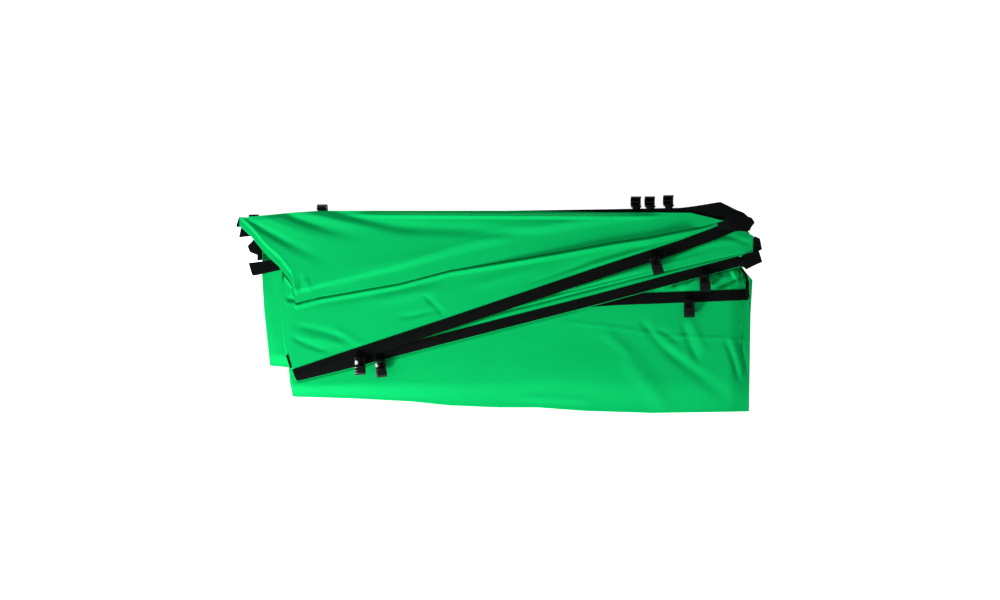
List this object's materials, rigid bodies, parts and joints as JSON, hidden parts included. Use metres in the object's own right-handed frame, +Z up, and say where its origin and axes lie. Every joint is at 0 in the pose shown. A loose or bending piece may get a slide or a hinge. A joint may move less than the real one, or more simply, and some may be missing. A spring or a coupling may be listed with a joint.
{
  "type": "collapsible backdrop panel",
  "caption": "Green stretch-fabric backdrop skin with black bound edges and clip-on hooks, folded zigzag into a flat bundle for storage.",
  "frame": {"origin": "middle of the bundle's underside, on the surface it lies on", "axes": "+X along the bundle towards the end where the lowest fold is, +Y towards its straight folded back edge, +Z up"},
  "size_m": [1.0504, 0.4368, 0.06],
  "materials": {
    "fabric": "matte",
    "binding": "matte",
    "hook": "gloss"
  },
  "bodies": {
    "leaf_1": {"leaf_1_fabric": "fabric", "leaf_1_front_binding": "binding", "leaf_1_back_binding": "binding", "leaf_1_fold_edge": "binding", "leaf_1_side_binding": "binding", "leaf_1_side_turn": "binding", "clip_5_tab": "binding"},
    "leaf_2": {"leaf_2_fabric": "fabric", "leaf_2_front_binding": "binding", "leaf_2_back_binding": "binding", "leaf_2_fold_stub": "binding", "leaf_2_fold_upper_stub": "binding", "clip_2_tab": "binding", "clip_4_tab": "binding"},
    "leaf_3": {"leaf_3_fabric": "fabric", "leaf_3_front_binding": "binding", "leaf_3_back_binding": "binding", "leaf_3_fold_corner": "binding", "leaf_3_fold_edge": "binding", "clip_1_tab": "binding", "clip_3_tab": "binding"},
    "leaf_4": {"leaf_4_fabric": "fabric", "leaf_4_front_binding": "binding", "leaf_4_back_binding": "binding", "leaf_4_side_binding": "binding", "leaf_4_side_turn": "binding", "clip_6_tab": "binding", "clip_7_tab": "binding", "clip_8_tab": "binding", "clip_9_tab": "binding", "clip_10_tab": "binding"},
    "clip_1": {"clip_1_hook": "hook"},
    "clip_2": {"clip_2_hook": "hook"},
    "clip_3": {"clip_3_hook": "hook"},
    "clip_4": {"clip_4_hook": "hook"},
    "clip_5": {"clip_5_hook": "hook"},
    "clip_6": {"clip_6_hook": "hook"},
    "clip_7": {"clip_7_hook": "hook"},
    "clip_8": {"clip_8_hook": "hook"},
    "clip_9": {"clip_9_hook": "hook"},
    "clip_10": {"clip_10_hook": "hook"}
  },
  "joints": [
    {"name": "leaf_2_unfold", "type": "hinge", "parent": "leaf_1", "child": "leaf_2", "pos_m": [0.53023, 0.10462, 0.02225], "axis": [-0.1478, 0.989, 0], "range_deg": [0, 180]},
    {"name": "leaf_3_unfold", "type": "hinge", "parent": "leaf_2", "child": "leaf_3", "pos_m": [-0.42277, -0.12938, 0.03165], "axis": [0.1822, -0.9833, 0], "range_deg": [0, 180]},
    {"name": "leaf_4_unfold", "type": "hinge", "parent": "leaf_3", "child": "leaf_4", "pos_m": [0.51223, 0.16262, 0.04105], "axis": [-0.2079, 0.9781, 0], "range_deg": [0, 180]},
    {"name": "clip_1_swing", "type": "hinge", "parent": "leaf_3", "child": "clip_1", "pos_m": [-0.27877, -0.10638, 0.0444], "axis": [-0.9986, -0.0523, 0], "range_deg": [0, 110]},
    {"name": "clip_2_swing", "type": "hinge", "parent": "leaf_2", "child": "clip_2", "pos_m": [-0.23877, -0.11138, 0.035], "axis": [-0.9925, -0.1219, 0], "range_deg": [0, 110]},
    {"name": "clip_3_swing", "type": "hinge", "parent": "leaf_3", "child": "clip_3", "pos_m": [0.30923, 0.09362, 0.0444], "axis": [-0.9659, -0.2588, 0], "range_deg": [0, 110]},
    {"name": "clip_4_swing", "type": "hinge", "parent": "leaf_2", "child": "clip_4", "pos_m": [0.40923, 0.05962, 0.035], "axis": [-0.9976, -0.0698, 0], "range_deg": [0, 110]},
    {"name": "clip_5_swing", "type": "hinge", "parent": "leaf_1", "child": "clip_5", "pos_m": [0.37923, 0.00762, 0.0256], "axis": [-0.9998, -0.0175, 0], "range_deg": [0, 105]},
    {"name": "clip_6_swing", "type": "hinge", "parent": "leaf_4", "child": "clip_6", "pos_m": [0.27323, 0.19462, 0.0444], "axis": [1, 0, 0], "range_deg": [0, 150]},
    {"name": "clip_7_swing", "type": "hinge", "parent": "leaf_4", "child": "clip_7", "pos_m": [0.30123, 0.19462, 0.0444], "axis": [1, 0, 0], "range_deg": [0, 150]},
    {"name": "clip_8_swing", "type": "hinge", "parent": "leaf_4", "child": "clip_8", "pos_m": [0.33823, 0.19712, 0.0444], "axis": [1, 0, 0], "range_deg": [0, 150]},
    {"name": "clip_9_swing", "type": "hinge", "parent": "leaf_4", "child": "clip_9", "pos_m": [-0.35477, 0.19062, 0.042], "axis": [1, 0, 0], "range_deg": [0, 95]},
    {"name": "clip_10_swing", "type": "hinge", "parent": "leaf_4", "child": "clip_10", "pos_m": [-0.49277, 0.16662, 0.0356], "axis": [1, 0, 0], "range_deg": [-20, 95]}
  ],
  "couplings": [
    {"joint": "leaf_3_unfold", "follows": "leaf_2_unfold", "ratio": 1},
    {"joint": "leaf_4_unfold", "follows": "leaf_2_unfold", "ratio": 1}
  ]
}
